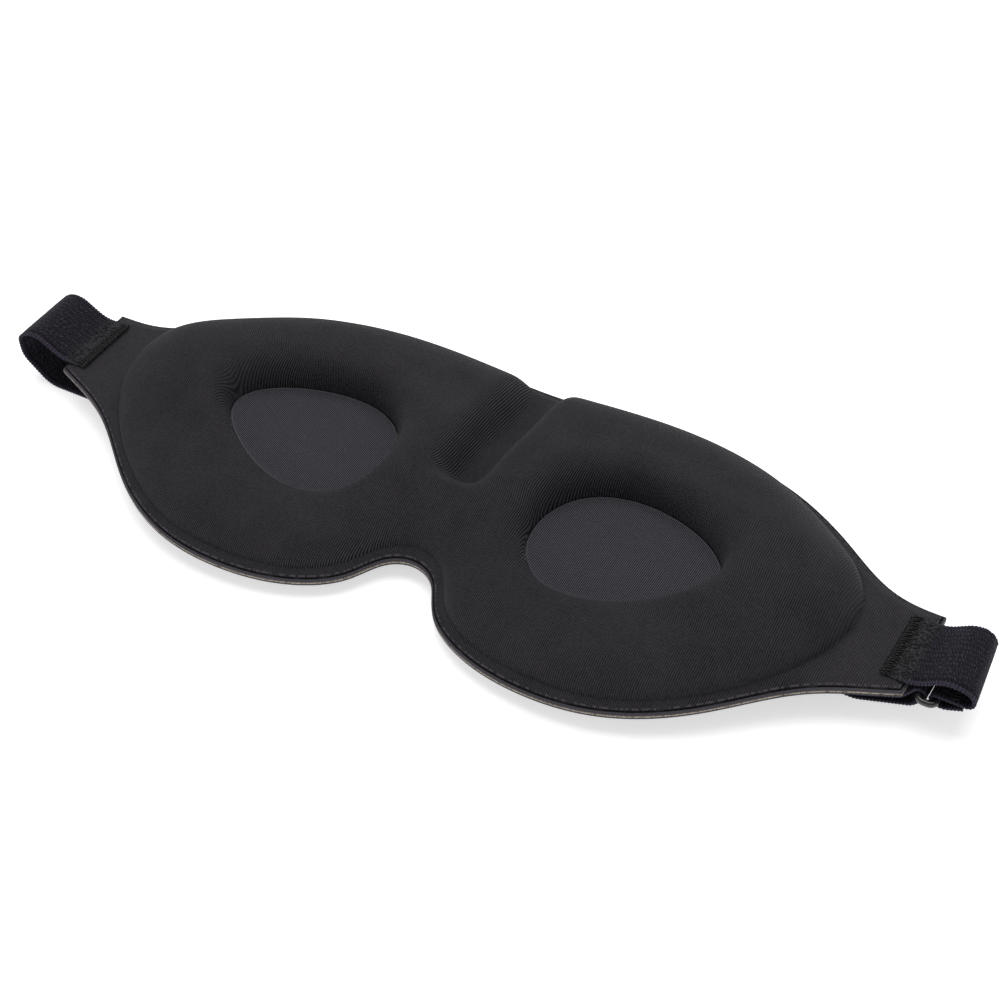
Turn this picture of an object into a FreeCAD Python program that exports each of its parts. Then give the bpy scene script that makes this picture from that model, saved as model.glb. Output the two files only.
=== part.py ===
"""Contoured sleep eye mask, lying face side up over its own folded strap.

Frame: origin at the bottom centre of the bounding box, +X along the mask,
+Y towards the forehead edge, +Z out of the face side.  Millimetres.
"""
import FreeCAD, Part
import math
import os

V = FreeCAD.Vector
os.makedirs("parts", exist_ok=True)

# ---------------------------------------------------------------- driving sizes
TIP_X = 115.6            # half the length, from the middle to a wing's cut end
TIP_NEAR_Y = -10.4       # wing tip's corner on the nose side
TIP_FAR_Y = 14.0         # wing tip's corner on the forehead side

# right half of the cut edge, as points that the smooth curve passes through
NOSE_EDGE = [(0, -23.3), (5.5, -25.1), (11.5, -33.2), (20.1, -39.9), (39.8, -44.8),
             (59.4, -43.0), (79.2, -32.8), (97.3, -18.5)]
FOREHEAD_EDGE = [(103, 16.2), (88, 25.9), (70, 37.2), (42, 44.43), (18, 44.5), (0, 43.8)]

# right half of the raised pad's outer edge
PAD_EDGE = [(0, -20.0), (7.5, -22.8), (14.0, -31.5), (21.6, -37.3), (39.8, -41.6),
            (58.5, -40.1), (77.3, -30.6), (92.0, -16.4), (99.0, 0.5), (97.0, 11.6),
            (86.5, 22.7), (69.3, 34.0), (42, 41.8), (18, 42.1), (0, 41.2)]
PAD_INSET = 1.2          # foam stops this far inside the edge of its own bulge

EYE_X = 44.1             # eye opening: centre, half length, half height
EYE_Y = -1.2
EYE_A = 23.2
EYE_B = 16.6
EYE_EGG = 0.25           # narrower towards the temple
EYE_SLOPE = 0.045        # and rising towards the temple

COVER = 0.65             # knitted covers
GLUE = 0.15              # glue line between any two layers
FOAM_RIM = 1.35          # shell foam where it is pressed thin at the rim
FOAM_MID = 1.7           # and under the eyes
LINING = 0.5
PAD_HEIGHT = 10.0        # crest of the padded ring over the eye floor
WALL_WIDTH = 9.5         # the ring slopes down into the eye over this width
WALL_FOOT = 0.3          # share of its height left at the eye's edge
CHEEK_LOW = 0.48         # the ring is this much lower under the eyes
HOLLOW_WIDTH = 6.2       # half width and depth share of the hollow between the brows
HOLLOW_DEPTH = 0.88

RIM_Z = 3.2              # underside of the rim at the nose
WING_RISE = 5.5          # how much higher the underside is at the wing tips
ARCH = 2.7               # the middle is lifted over the strap and its slider

STRAP_W = 19.0           # elastic
STRAP_T = 0.9
STRAP_Y = 0.8
SEWN = 5.8               # overlap of the elastic on the wing
LOOP_X = 132.0           # outermost point of both strap loops
PLAY = 0.15              # between layers of elastic, and elastic and bars

WIRE = 1.6               # ring wire
RING_PITCH = 4.0         # between the ring's two bars
RING_BEND = 1.5
RING_X = 120.6           # middle of the ring
RING_Z = 9.3
HARD_SPAN = 19.8         # clear width for the elastic in ring and slider
DROP = math.radians(60)  # how steeply the band falls from the ring

SLIDER_X = 96.0          # middle bar of the slider
SLIDER_PITCH = 4.4
BAR_W = 1.6              # the slider's flat bars
BAR_T = 1.0

THREAD = 0.35            # sewing thread, as laid on the elastic
STITCHES = 15            # in each row

GRID_NX = 70
GRID_NY = 28
GRID_X = 119.0
GRID_Y = 49.0


# ---------------------------------------------------------------- plane outlines
def mirrored(points):
    """Both halves of a line given from the middle towards the right."""
    left = [(-x, y) for x, y in reversed(points) if x > 0]
    return left + points


def smooth_edge(points, closed=False):
    """One smooth edge through the points."""
    curve = Part.BSplineCurve()
    curve.interpolate([V(x, y, 0) for x, y in points], PeriodicFlag=closed)
    return curve.toShape()


def mask_wire():
    """Cut edge of the mask: two long curves and two straight wing tips."""
    nose = smooth_edge(mirrored(NOSE_EDGE + [(TIP_X, TIP_NEAR_Y)]))
    half = [(TIP_X, TIP_FAR_Y)] + FOREHEAD_EDGE
    forehead = smooth_edge(half + [(-x, y) for x, y in reversed(half) if x > 0])
    right = Part.makeLine(V(TIP_X, TIP_NEAR_Y, 0), V(TIP_X, TIP_FAR_Y, 0))
    left = Part.makeLine(V(-TIP_X, TIP_FAR_Y, 0), V(-TIP_X, TIP_NEAR_Y, 0))
    return Part.Wire([nose, right, forehead, left])


def pad_points():
    """The pad's outer edge, counter-clockwise from the nose."""
    return PAD_EDGE + [(-x, y) for x, y in reversed(PAD_EDGE) if x > 0]


def pad_foam_wire():
    """The pad's outline, moved inwards by the inset."""
    edge = smooth_edge(pad_points(), closed=True)
    inner = []
    for k in range(72):
        at = edge.getParameterByLength(edge.Length * k / 72)
        along = edge.tangentAt(at)
        inner.append((edge.valueAt(at).x - PAD_INSET * along.y,
                      edge.valueAt(at).y + PAD_INSET * along.x))
    return Part.Wire([smooth_edge(inner, closed=True)])


def eye_point(side, angle, grow=0.0):
    """A point of the egg-shaped eye opening; side is +1 or -1."""
    x = (EYE_A + grow) * math.cos(angle)
    y = (EYE_B + grow) * math.sin(angle) * (1 - EYE_EGG * math.cos(angle))
    return side * (EYE_X + x), EYE_Y + y + EYE_SLOPE * x


def eye_wire(side, grow=0.0):
    turns = [2 * math.pi * k / 24 for k in range(24)]
    points = [eye_point(side, a, grow) for a in turns]
    return Part.Wire([smooth_edge(points, closed=True)])


def prism(wire, low=-1.0, high=40.0):
    """Upright prism over a plane wire."""
    face = Part.Face(wire)
    face.translate(V(0, 0, low))
    return face.extrude(V(0, 0, high - low))


# ---------------------------------------------------------------- heights
def smoothstep(low, high, value):
    t = min(1.0, max(0.0, (value - low) / (high - low)))
    return t * t * (3 - 2 * t)


def polygon(edge_or_wire, count):
    return [(p.x, p.y) for p in edge_or_wire.discretize(count)]


PAD_POLY = polygon(Part.Wire([smooth_edge(pad_points(), closed=True)]), 161)
EYE_POLY = [eye_point(1, 2 * math.pi * k / 64) for k in range(65)]


def eye_share(x, y):
    """How much of the ring's height is left near an eye opening, from WALL_FOOT to 1."""
    outside = max(0.0, -inside_depth(EYE_POLY, abs(x), y))
    near = 1 - min(1.0, outside / WALL_WIDTH)
    return WALL_FOOT + (1 - WALL_FOOT) * (1 - near ** 3) ** 0.55


def inside_depth(poly, x, y):
    """Distance to a closed polygon's edge, positive inside and negative outside."""
    best = 1e9
    inside = False
    for (x0, y0), (x1, y1) in zip(poly, poly[1:]):
        dx = x1 - x0
        dy = y1 - y0
        along = ((x - x0) * dx + (y - y0) * dy) / (dx * dx + dy * dy + 1e-12)
        along = min(1.0, max(0.0, along))
        best = min(best, math.hypot(x - x0 - along * dx, y - y0 - along * dy))
        if (y0 > y) != (y1 > y) and x < dx * (y - y0) / (y1 - y0) + x0:
            inside = not inside
    return best if inside else -best


def underside(x, y):
    """Outer face: rises towards the wing tips, arched over the strap."""
    lift = ARCH / (1 + ((y - STRAP_Y) / 20.0) ** 4)
    lift *= 1 - smoothstep(80, 112, abs(x))
    return RIM_Z + WING_RISE * (x / TIP_X) ** 2 + lift


def foam_thickness(pad_depth):
    return FOAM_RIM + (FOAM_MID - FOAM_RIM) * smoothstep(0, 10, pad_depth)


def foam_top(x, y, pad_depth):
    return underside(x, y) + COVER + GLUE + foam_thickness(pad_depth)


def bulge(x, y, pad_depth):
    """Height of the padded ring, with the hollow between the brows."""
    rise = max(0.0, 1 - (1 - min(1.0, max(0.0, pad_depth) / 15.0)) ** 2.2) ** 0.5
    half = abs(x)
    height = PAD_HEIGHT * (1 - 0.18 * smoothstep(60, 100, half)) * rise
    height *= 1 - CHEEK_LOW * (1 - smoothstep(-20, 2, y))
    hollow = math.exp(-(half / HOLLOW_WIDTH) ** 3.2) * smoothstep(-7, 2, y)
    return height * (1 - HOLLOW_DEPTH * hollow) * eye_share(x, y)


# ---------------------------------------------------------------- height surfaces
def pole_positions(count, half):
    """Pole places of a clamped cubic with even knots, so that x and y stay linear."""
    spans = count - 3
    knots = [0.0] * 3 + [k / spans for k in range(spans + 1)] + [1.0] * 3
    return [half * (2 * sum(knots[k + 1:k + 4]) / 3 - 1) for k in range(count)]


POLE_X = pole_positions(GRID_NX, GRID_X)
POLE_Y = pole_positions(GRID_NY, GRID_Y)
PAD_DEPTH = [[inside_depth(PAD_POLY, x, y) for y in POLE_Y] for x in POLE_X]


def height_face(height):
    """A smooth face; where one height is over another, its whole face is too."""
    poles = []
    for i, x in enumerate(POLE_X):
        poles.append([V(x, y, height(x, y, PAD_DEPTH[i][j])) for j, y in enumerate(POLE_Y)])
    knots_u = [k / (GRID_NX - 3) for k in range(GRID_NX - 2)]
    knots_v = [k / (GRID_NY - 3) for k in range(GRID_NY - 2)]
    mults_u = [4] + [1] * (GRID_NX - 4) + [4]
    mults_v = [4] + [1] * (GRID_NY - 4) + [4]
    surface = Part.BSplineSurface()
    surface.buildFromPolesMultsKnots(poles, mults_u, mults_v, knots_u, knots_v,
                                     False, False, 3, 3)
    return surface.toShape()


def between(low, high):
    """Everything over one height and under another."""
    over = height_face(low).extrude(V(0, 0, 40))
    under = height_face(high).extrude(V(0, 0, -40))
    return over.common(under)


def shell_bottom(x, y, depth):
    return underside(x, y)


def shell_top(x, y, depth):
    return foam_top(x, y, depth)


def pad_bottom(x, y, depth):
    return foam_top(x, y, depth) + GLUE


def face_bottom(x, y, depth):
    return foam_top(x, y, depth) + GLUE + max(0.0, bulge(x, y, depth))


def raised(height, amount):
    return lambda x, y, depth: height(x, y, depth) + amount


def face_top(x, y, depth):
    return face_bottom(x, y, depth) + COVER


# ---------------------------------------------------------------- soft layers
MASK = prism(mask_wire())
EYES = [eye_wire(side) for side in (-1, 1)]


def save(shape, name):
    """Write one node, after saying whether it is sound."""
    print(name, "valid", shape.isValid(), "solids", len(shape.Solids),
          "mm3", round(shape.Volume, 1))
    shape.exportStep("parts/" + name + ".step")


def outer_cover():
    return height_face(shell_bottom).extrude(V(0, 0, COVER)).common(MASK)


def shell_foam():
    return between(raised(shell_bottom, COVER + GLUE), shell_top).common(MASK)


def eye_lining(side):
    """Thin knit glued on the foam inside one eye opening."""
    sheet = height_face(raised(shell_top, GLUE)).extrude(V(0, 0, LINING))
    return sheet.common(prism(eye_wire(side, -GLUE)))


def memory_foam_pad():
    """Figure-of-eight pad between the shell and the face cover."""
    column = prism(pad_foam_wire())
    pad = between(pad_bottom, raised(face_bottom, -GLUE)).common(column)
    for side in (-1, 1):
        pad = pad.cut(prism(eye_wire(side, COVER + GLUE)))
    return pad


def face_cover():
    """Knit over the pad, turned down into each eye opening."""
    cover = height_face(face_bottom).extrude(V(0, 0, COVER)).common(MASK)
    for side, eye in zip((-1, 1), EYES):
        wall = between(pad_bottom, raised(face_bottom, COVER / 2))
        wall = wall.common(prism(eye_wire(side, COVER)))
        cover = cover.fuse(wall).cut(prism(eye))
    return cover


# ---------------------------------------------------------------- elastic
def strip(corners, thickness):
    """A band of even thickness along corners (x, z, bend radius), seen from the side."""
    lines = []
    here = V(corners[0][0], 0, corners[0][1])
    for k in range(1, len(corners) - 1):
        before = V(corners[k - 1][0], 0, corners[k - 1][1])
        corner = V(corners[k][0], 0, corners[k][1])
        after = V(corners[k + 1][0], 0, corners[k + 1][1])
        inward = (before - corner).normalize()
        outward = (after - corner).normalize()
        turn = math.pi - inward.getAngle(outward)
        length = corners[k][2] * math.tan(turn / 2)
        start = corner + inward * length
        end = corner + outward * length
        half = (inward + outward).normalize()
        centre = corner + half * (corners[k][2] / math.cos(turn / 2))
        lines.append((here, start, None))
        lines.append((start, end, centre))
        here = end
    lines.append((here, V(corners[-1][0], 0, corners[-1][1]), None))
    return Part.Face(Part.Wire(side_edges(lines, thickness / 2)))


def side_edges(lines, half):
    """Both long sides and both ends of a band, in order round it."""
    sides = ([], [])
    for start, end, centre in lines:
        if centre is None and (end - start).Length < 1e-6:
            continue
        for edges, shift in zip(sides, (half, -half)):
            edges.append(offset_edge(start, end, centre, shift))
    ends = [Part.makeLine(edge_end(sides[0][-1], -1), edge_end(sides[1][-1], -1)),
            Part.makeLine(edge_end(sides[1][0], 0), edge_end(sides[0][0], 0))]
    return sides[0] + [ends[0]] + sides[1][::-1] + [ends[1]]


def edge_end(edge, which):
    return edge.Vertexes[which].Point


def offset_edge(start, end, centre, shift):
    """A straight or round stretch moved sideways; sideways is left of travel."""
    if centre is None:
        travel = (end - start).normalize()
        side = V(-travel.z, 0, travel.x) * shift
        return Part.makeLine(start + side, end + side)
    arm_start = start - centre
    arm_end = end - centre
    middle = (arm_start + arm_end).normalize() * arm_start.Length
    travel = (end - start).normalize()
    left = V(-travel.z, 0, travel.x)
    grow = 1 + (shift if left.dot(middle) > 0 else -shift) / arm_start.Length
    points = [centre + arm * grow for arm in (arm_start, middle, arm_end)]
    return Part.Arc(*points).toShape()


def band(corners):
    """Extrude a strip to the elastic's width."""
    face = strip(corners, STRAP_T)
    face.translate(V(0, STRAP_Y - STRAP_W / 2, 0))
    return face.extrude(V(0, STRAP_W, 0))


LAYER = STRAP_T + PLAY                     # pitch of stacked elastic
WING_TOP = RIM_Z + WING_RISE + 2 * COVER + 2 * GLUE + FOAM_RIM
SEAM_Z = WING_TOP + GLUE + STRAP_T / 2     # elastic's middle at the wing's cut end
SEAM_SLOPE = 2 * WING_RISE / TIP_X         # how the wing's tip leans
SEAM_X = TIP_X - SEWN
SEAM_START_Z = SEAM_Z - SEAM_SLOPE * SEWN + 0.1
WRAP = WIRE / 2 + PLAY + STRAP_T / 2       # elastic's middle round a ring bar
OUTER_BAR_X = RING_X + RING_PITCH / 2
INNER_BAR_X = RING_X - RING_PITCH / 2
FLOOR_Z = STRAP_T / 2
BAR_Z = 2 * LAYER + BAR_T / 2
SIDE_X = LOOP_X - STRAP_T / 2


def strap_tab():
    """Short elastic: right wing, loop, round the ring's outer bar, back on itself."""
    over = RING_Z + WRAP
    turn_x = OUTER_BAR_X - WRAP
    return band([(SEAM_X, SEAM_START_Z, 0), (117.5, SEAM_Z + 0.2, 12), (SIDE_X, 17.2, 2.6),
                 (SIDE_X, over, 2.8), (turn_x, over, WRAP), (turn_x, RING_Z - WRAP, WRAP),
                 (124.3, RING_Z - WRAP, 3), (128.2, over - LAYER - 0.1, 0)])


def strap_band():
    """Long elastic: left wing, loop, slider, ring, and back round the slider's middle bar."""
    down_x = math.cos(DROP)
    down_z = math.sin(DROP)
    turn_x = INNER_BAR_X + WRAP * down_x
    turn_z = RING_Z + WRAP * down_z
    upper = (turn_x - WRAP * down_z, turn_z + WRAP * down_x)
    lower = (turn_x + WRAP * down_z, turn_z - WRAP * down_x)
    run_z = FLOOR_Z + LAYER
    upper_x = upper[0] - (upper[1] - run_z) * down_x / down_z
    lower_x = lower[0] - (lower[1] - FLOOR_Z) * down_x / down_z
    wrap_left = SLIDER_X - BAR_W / 2 - PLAY - STRAP_T / 2
    wrap_right = SLIDER_X + BAR_W / 2 + PLAY + STRAP_T / 2
    wrap_top = BAR_Z + BAR_T / 2 + PLAY + STRAP_T / 2
    return band([(-SEAM_X, SEAM_START_Z, 0), (-118.0, SEAM_Z + 0.3, 12), (-SIDE_X, 15.2, 3),
                 (-SIDE_X, 7.6, 5), (-124.2, FLOOR_Z, 7),
                 (wrap_left - LAYER, FLOOR_Z, 0.8), (wrap_left - LAYER, wrap_top + LAYER, 0.8),
                 (wrap_right + LAYER, wrap_top + LAYER, 0.8), (wrap_right + LAYER, run_z, 0.8),
                 (upper_x, run_z, 5), (upper[0], upper[1], WRAP), (lower[0], lower[1], WRAP),
                 (lower_x, FLOOR_Z, 6), (wrap_right + 0.2, FLOOR_Z, 1),
                 (SLIDER_X, run_z, 1), (wrap_left, run_z, 0.7), (wrap_left, wrap_top, 0.7),
                 (wrap_right, wrap_top, 0.7), (wrap_right, 2.3, 0)])


# ---------------------------------------------------------------- hardware
def strap_ring():
    """Rectangular ring of round wire with rounded ends."""
    half_x = RING_PITCH / 2
    half_y = (HARD_SPAN + WIRE) / 2
    quarter = math.pi / 2
    arcs = []
    for k, (side_x, side_y) in enumerate(((1, 1), (-1, 1), (-1, -1), (1, -1))):
        centre = V(side_x * (half_x - RING_BEND), side_y * (half_y - RING_BEND), 0)
        arms = [V(RING_BEND * math.cos(a), RING_BEND * math.sin(a), 0)
                for a in (k * quarter, (k + 0.5) * quarter, (k + 1) * quarter)]
        arcs.append(Part.Arc(*[centre + arm for arm in arms]).toShape())
    edges = []
    for arc, following in zip(arcs, arcs[1:] + arcs[:1]):
        edges += [arc, Part.makeLine(edge_end(arc, -1), edge_end(following, 0))]
    start = edge_end(arcs[0], 0)
    section = Part.Wire([Part.makeCircle(WIRE / 2, start, V(0, 1, 0))])
    ring = Part.Wire(edges).makePipeShell([section], True, False)
    ring.translate(V(RING_X, STRAP_Y, RING_Z))
    return ring


def strap_slider():
    """Flat three-bar slider."""
    width = 2 * SLIDER_PITCH + BAR_W
    length = HARD_SPAN + 2 * BAR_W
    plate = Part.makeBox(width, length, BAR_T, V(-width / 2, -length / 2, -BAR_T / 2))
    upright = [e for e in plate.Edges if abs(e.tangentAt(e.FirstParameter).z) > 0.9]
    plate = plate.makeFillet(2.0, upright)
    slot = SLIDER_PITCH - BAR_W
    for side in (-1, 1):
        hole = Part.makeBox(slot, HARD_SPAN, 4, V(side * SLIDER_PITCH / 2 - slot / 2,
                                                  -HARD_SPAN / 2, -2))
        plate = plate.cut(hole)
    rims = [e for e in plate.Edges if abs(e.tangentAt(e.FirstParameter).z) < 0.1]
    plate = plate.makeFillet(0.3, rims)
    plate.translate(V(SLIDER_X, STRAP_Y, BAR_Z))
    return plate


# ---------------------------------------------------------------- sewing
def across(count, margin):
    """Even places across the elastic."""
    reach = STRAP_W / 2 - margin
    return [STRAP_Y + reach * (2 * k / (count - 1) - 1) for k in range(count)]


def thread_row(x, z, slope, length):
    """Short threads side by side, lying along X on a surface that leans by slope."""
    run = V(1, 0, slope).normalize()
    lift = V(-run.z, 0, run.x) * (THREAD / 2 + 0.03)
    base = V(x, 0, z) + lift - run * (length / 2)
    return [Part.makeCylinder(THREAD / 2, length, base + V(0, y, 0), run)
            for y in across(STITCHES, 0.9)]


def wing_stitches(side):
    """Two rows of bar tacks through the elastic and the wing."""
    far_x, far_z = (117.5, SEAM_Z + 0.2) if side > 0 else (118.0, SEAM_Z + 0.3)
    slope = (far_z - SEAM_START_Z) / (far_x - SEAM_X)
    threads = []
    for inset in (1.3, 4.2):
        z = SEAM_START_Z + slope * inset + STRAP_T / 2
        threads += thread_row(side * (SEAM_X + inset), z, side * slope, 2.0)
    return Part.makeCompound(threads)


def tab_end_stitches():
    """Row that closes the tab round the ring's outer bar."""
    top = RING_Z + WRAP + STRAP_T / 2
    return Part.makeCompound(thread_row(126.4, top, 0, 1.6))


def band_end_stitches():
    """Row that ties the band's end to the band under the slider's middle bar."""
    x = SLIDER_X + BAR_W / 2 + PLAY + STRAP_T / 2
    return Part.makeCompound([Part.makeCylinder(THREAD / 2, 0.8, V(x, y, 1.35))
                              for y in across(STITCHES, 0.9)])


NODES = {
    "outer_cover": outer_cover,
    "shell_foam": shell_foam,
    "eye_lining_left": lambda: eye_lining(-1),
    "eye_lining_right": lambda: eye_lining(1),
    "memory_foam_pad": memory_foam_pad,
    "face_cover": face_cover,
    "strap_band": strap_band,
    "strap_tab": strap_tab,
    "strap_ring": strap_ring,
    "strap_slider": strap_slider,
    "wing_stitches_left": lambda: wing_stitches(-1),
    "wing_stitches_right": lambda: wing_stitches(1),
    "tab_end_stitches": tab_end_stitches,
    "band_end_stitches": band_end_stitches,
}

for node, make in NODES.items():
    save(make(), node)
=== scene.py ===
"""Contoured sleep eye mask, face side up over its folded elastic strap.

Shapes are worked out in millimetres in the CAD model's own frame and made in metres.
"""
import math
import bpy
import numpy as np
from mathutils import Matrix, Vector


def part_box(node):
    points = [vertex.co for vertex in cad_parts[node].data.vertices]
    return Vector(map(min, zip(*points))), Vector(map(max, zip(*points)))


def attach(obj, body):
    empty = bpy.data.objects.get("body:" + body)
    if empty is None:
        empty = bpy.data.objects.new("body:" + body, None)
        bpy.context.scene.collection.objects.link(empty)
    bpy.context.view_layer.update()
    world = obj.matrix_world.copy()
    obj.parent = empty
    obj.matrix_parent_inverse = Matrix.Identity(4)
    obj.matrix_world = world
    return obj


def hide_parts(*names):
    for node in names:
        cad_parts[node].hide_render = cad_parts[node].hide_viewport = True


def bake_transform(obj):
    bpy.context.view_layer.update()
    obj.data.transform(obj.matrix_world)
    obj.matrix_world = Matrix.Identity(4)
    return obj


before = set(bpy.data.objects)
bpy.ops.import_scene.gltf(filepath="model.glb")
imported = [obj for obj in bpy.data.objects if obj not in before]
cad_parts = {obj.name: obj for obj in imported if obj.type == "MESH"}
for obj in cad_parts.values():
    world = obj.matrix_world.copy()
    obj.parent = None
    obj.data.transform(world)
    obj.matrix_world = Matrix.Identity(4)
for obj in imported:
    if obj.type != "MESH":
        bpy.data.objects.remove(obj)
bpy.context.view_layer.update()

MM = 0.001


def corner(node, which):
    """Lowest (0) or highest (1) corner of a CAD node, in millimetres."""
    return np.array(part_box(node)[which]) / MM


# ---- sizes, in mm
TIP_X = corner("outer_cover", 1)[0]
TIP_NEAR_Y = -10.4
TIP_FAR_Y = 14.0
NOSE_EDGE = [(0, -23.3), (5.5, -25.1), (11.5, -33.2), (20.1, -39.9), (39.8, -44.8),
             (59.4, -43.0), (79.2, -32.8), (97.3, -18.5)]
FOREHEAD_EDGE = [(103, 16.2), (88, 25.9), (70, 37.2), (42, 44.43), (18, 44.5), (0, 43.8)]
PAD_EDGE = [(0, -20.0), (7.5, -22.8), (14.0, -31.5), (21.6, -37.3), (39.8, -41.6),
            (58.5, -40.1), (77.3, -30.6), (92.0, -16.4), (99.0, 0.5), (97.0, 11.6),
            (86.5, 22.7), (69.3, 34.0), (42, 41.8), (18, 42.1), (0, 41.2)]
EYE = np.array([44.1, -1.2])
EYE_A, EYE_B = 23.2, 16.6
EYE_EGG, EYE_SLOPE = 0.25, 0.045

COVER = 0.65
GLUE = 0.15
FOAM_RIM, FOAM_MID = 1.35, 1.7
LINING = 0.5
PAD_HEIGHT = 10.0
WALL_WIDTH = 9.5
CHEEK_LOW = 0.48         # the ring is this much lower under the eyes
HOLLOW_WIDTH, HOLLOW_DEPTH = 6.2, 0.88
RIM_Z, WING_RISE, ARCH = 3.2, 5.5, 2.7
ARCH_WIDTH, ARCH_FULL, ARCH_NONE = 20.0, 80, 112
SHOULDER = 15.0          # the ring is at full height this far in from the pad's edge
EDGE_ROLL, ROLL_WIDTH = 0.22, 0.5
RIM_BAND = 2.6           # width of the finely divided band along the cut edge
FOLLOW_ALL, FOLLOW_NONE = 50, 70     # the ribs keep to slopes as far out as this, then stop
RELAX_FROM, RELAX_TO = 56.0, 106.0   # and turn straight again along the wing between these
PINCH = 1.0              # the press thins the foam by this much at the cut edge
PINCH_WIDTH = 3.4
# the press's lines: distance in from the cut edge, depth or height, width
GROOVE, GROOVE_DEPTH, GROOVE_WIDTH = 0.60, 0.34, 0.16
RIDGE, RIDGE_HEIGHT, RIDGE_WIDTH = 1.02, 0.14, 0.18
EDGE_DROP, EDGE_WIDTH = 0.40, 0.34

STRAP_W = corner("strap_tab", 1)[1] - corner("strap_tab", 0)[1]
STRAP_Y = (corner("strap_tab", 1)[1] + corner("strap_tab", 0)[1]) / 2
LOOP_X = corner("strap_tab", 1)[0]
STRAP_T = 0.9
PLAY = 0.15
LAYER = STRAP_T + PLAY
SEWN = 5.8
WIRE = 1.6
RING_PITCH, RING_X, RING_Z = 4.0, 120.6, 9.3
RING_BEND = 1.5
HARD_SPAN = 19.8
DROP = math.radians(52)
SLIDER_X, SLIDER_PITCH, BAR_W, BAR_T = 96.0, 4.4, 1.6, 1.0
PICOT = 0.85             # pitch of the small loops along the elastic's edges
TOOTH = 0.16             # and how far they stand out
DASH_PITCH, COLUMN_PITCH = 0.74, 1.35
ASKEW = 0.12             # each mm across the elastic draws the right loop's end in by this
ASKEW_FROM, ASKEW_TO = 124.6, 130.0
KNEE_Z, FOOT_X = 5.2, 104.5     # the long elastic bends under the wing, then meets the floor
KNEE_GAP = 1.2           # between its two runs at that bend
FOLD_PLAY = 0.2          # the tab's fold stands off the ring's bar by this
SEWN_DIP = 0.7
THREAD_TOP = 0.42        # threads start this far over the elastic's middle


# ---- plane curves
def spline(points, closed=False, step=0.5):
    """Points along the C2 cubic through these points, chord-length spaced."""
    p = np.array(points, float)
    if closed:
        p = np.vstack([p, p[:1]])
    t = lengths(p)
    n, h = len(p), np.diff(t)
    a, b = np.zeros((n, n)), np.zeros((n, 2))
    slope = np.diff(p, axis=0) / h[:, None]
    for k in range(1, n - 1):
        a[k, k - 1:k + 2] = h[k - 1], 2 * (h[k - 1] + h[k]), h[k]
        b[k] = 6 * (slope[k] - slope[k - 1])
    if closed:
        a[0, 0], a[0, -1] = 1, -1
        a[-1, 0], a[-1, 1] = 2 * h[0], h[0]
        a[-1, -2], a[-1, -1] = h[-1], 2 * h[-1]
        b[-1] = 6 * (slope[0] - slope[-1])
    else:
        a[0, 0] = a[-1, -1] = 1
    m = np.linalg.solve(a, b)
    fine = np.linspace(0, t[-1], int(t[-1] / step) + 2)
    k = np.clip(np.searchsorted(t, fine, side="right") - 1, 0, n - 2)
    u, v, hk = (fine - t[k])[:, None], (t[k + 1] - fine)[:, None], h[k][:, None]
    out = (m[k] * v ** 3 + m[k + 1] * u ** 3) / (6 * hk)
    out += (p[k] / hk - m[k] * hk / 6) * v + (p[k + 1] / hk - m[k + 1] * hk / 6) * u
    return out[:-1] if closed else out


def both_sides(half):
    """A line given from the middle to the right, with its mirror image before it."""
    return [(-x, y) for x, y in reversed(half) if x > 0] + half


def lengths(line):
    """Distance along a line to each of its points."""
    return np.concatenate([[0], np.cumsum(np.linalg.norm(np.diff(line, axis=0), axis=1))])


def unit(rows):
    """Rows scaled to a length of one."""
    return rows / np.linalg.norm(rows, axis=1)[:, None]


def points_at(line, where):
    """The points that lie at these distances along a line."""
    t = lengths(line)
    return np.column_stack([np.interp(where, t, values) for values in line.T])


def spaced(line, step):
    """The same line in even steps."""
    reach = lengths(line)[-1]
    return points_at(line, np.linspace(0, reach, max(2, int(round(reach / step)) + 1)))


def half_edge(step):
    """Right half of the cut edge, from the nose's middle round to the forehead's."""
    nose = spline(both_sides(NOSE_EDGE + [(TIP_X, TIP_NEAR_Y)]), step=0.1)
    brow = spline(both_sides(FOREHEAD_EDGE[::-1] + [(TIP_X, TIP_FAR_Y)]), step=0.1)
    nose = nose[nose[:, 0] > 0]
    brow = brow[brow[:, 0] > 0][::-1]
    low = np.array([[0, NOSE_EDGE[0][1]]])
    high = np.array([[0, FOREHEAD_EDGE[-1][1]]])
    tip = np.array([[TIP_X, TIP_NEAR_Y], [TIP_X, TIP_FAR_Y]])
    return np.vstack([spaced(np.vstack([low, nose]), step), spaced(tip, step)[1:-1],
                      spaced(np.vstack([brow, high]), step)])


def whole_edge(step):
    """The cut edge as one closed loop."""
    half = half_edge(step)
    return np.vstack([half, half[-2:0:-1] * [-1, 1]])


def eye_line(grow=0.0):
    """The egg-shaped edge of the right eye opening."""
    turn = np.linspace(0, 2 * np.pi, 240, endpoint=False)
    x = (EYE_A + grow) * np.cos(turn)
    y = (EYE_B + grow) * np.sin(turn) * (1 - EYE_EGG * np.cos(turn))
    return np.column_stack([EYE[0] + x, EYE[1] + y + EYE_SLOPE * x])


PAD_LINE = spline(PAD_EDGE + [(-x, y) for x, y in reversed(PAD_EDGE) if x > 0], True, 1.0)
EYE_LINE = eye_line()
CUT_LINE = whole_edge(1.0)


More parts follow.
